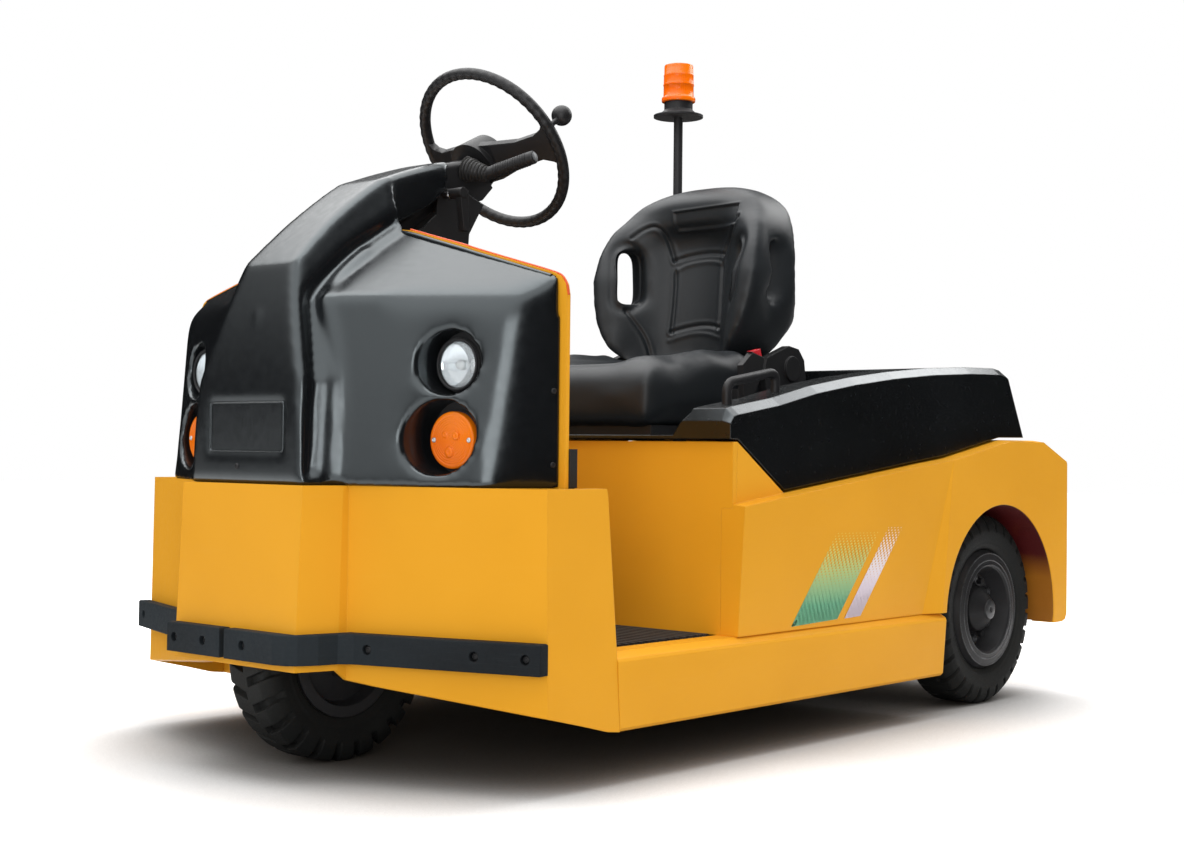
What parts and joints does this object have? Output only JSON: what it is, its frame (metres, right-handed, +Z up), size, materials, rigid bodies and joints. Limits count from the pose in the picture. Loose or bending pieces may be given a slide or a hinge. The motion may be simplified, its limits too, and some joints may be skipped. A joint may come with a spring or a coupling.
{
  "type": "electric tow tractor",
  "caption": "Three-wheel electric tow tractor with step-through cab, swept bow with rubber bumpers, black cowl, seat on a tilting battery hood and rear tow jaw.",
  "frame": {"origin": "middle of the overall box on the ground plane", "axes": "+X forward towards the bow, +Y to the driver's left, +Z up; the length runs along X"},
  "size_m": [2.32, 1.205, 1.645],
  "materials": {
    "amber_lens": "gloss",
    "battery_case": "matte",
    "black_paint": "satin",
    "black_plastic": "satin",
    "bumper_rubber": "matte",
    "clear_lens": "gloss",
    "gloss_black": "gloss",
    "mat_rubber": "matte",
    "red_lens": "gloss",
    "red_plastic": "gloss",
    "seat_vinyl": "satin",
    "steel": "satin",
    "tyre": "matte",
    "yellow_paint": "gloss"
  },
  "bodies": {
    "chassis": {"battery": "battery_case", "battery_tray": "black_paint", "body_side_left": "yellow_paint", "body_side_right": "yellow_paint", "bow_plate": "yellow_paint", "box_front": "yellow_paint", "bumper_left": "bumper_rubber", "bumper_right": "bumper_rubber", "cab_floor": "black_paint", "column_bracket": "black_paint", "column_levers": "black_plastic", "column_shroud": "black_plastic", "cowl": "gloss_black", "dash_plate": "yellow_paint", "floor_mat": "mat_rubber", "headlamp_lenses": "clear_lens", "hinge_knuckles": "steel", "indicator_lenses": "amber_lens", "instrument_panel": "black_plastic", "lamp_bezels": "black_plastic", "pedals": "black_paint", "rear_axle": "black_paint", "rear_panel": "yellow_paint", "rubber_pads": "mat_rubber", "sills": "yellow_paint", "steer_mount": "black_paint", "steering_column": "black_paint", "tail_lamps": "red_lens", "tow_jaw": "black_paint", "wheel_liners": "black_paint"},
    "steer_unit": {"steer_fork": "black_paint"},
    "front_wheel": {"tyre_front": "tyre", "rim_front": "black_paint"},
    "rear_wheel_left": {"tyre_rear_left": "tyre", "rim_rear_left": "black_paint"},
    "rear_wheel_right": {"tyre_rear_right": "tyre", "rim_rear_right": "black_paint"},
    "steering_wheel": {"steering_wheel": "black_plastic"},
    "hood": {"hood": "gloss_black", "grab_handle": "black_paint", "seat_base": "black_plastic", "seat_cushion": "seat_vinyl", "seat_back": "seat_vinyl", "belt_button": "red_plastic", "belt_fittings": "black_plastic", "beacon_pole": "black_paint", "beacon_lens": "amber_lens"},
    "tow_pin": {"tow_pin": "steel"}
  },
  "joints": [
    {"name": "steer", "type": "hinge", "parent": "chassis", "child": "steer_unit", "pos_m": [0.895, 0, 0.45], "axis": [0, 0, 1], "range_deg": [-75, 75]},
    {"name": "front_wheel_spin", "type": "hinge", "parent": "steer_unit", "child": "front_wheel", "pos_m": [0.895, 0, 0.212], "axis": [0, 1, 0], "continuous": true},
    {"name": "rear_left_spin", "type": "hinge", "parent": "chassis", "child": "rear_wheel_left", "pos_m": [-0.737, 0.496, 0.232], "axis": [0, 1, 0], "continuous": true},
    {"name": "rear_right_spin", "type": "hinge", "parent": "chassis", "child": "rear_wheel_right", "pos_m": [-0.737, -0.496, 0.232], "axis": [0, 1, 0], "continuous": true},
    {"name": "steering_wheel_turn", "type": "hinge", "parent": "chassis", "child": "steering_wheel", "pos_m": [0.453, 0, 1.2693], "axis": [-0.8, 0, 0.6], "range_deg": [-900, 900]},
    {"name": "hood_hinge", "type": "hinge", "parent": "chassis", "child": "hood", "pos_m": [-0.913, 0, 0.659], "axis": [0, -1, 0], "range_deg": [0, 45]},
    {"name": "tow_pin_lift", "type": "slide", "parent": "chassis", "child": "tow_pin", "axis": [0, 0, 1], "range_m": [0, 0.11]}
  ],
  "couplings": [
    {"joint": "steering_wheel_turn", "follows": "steer", "ratio": 12}
  ]
}
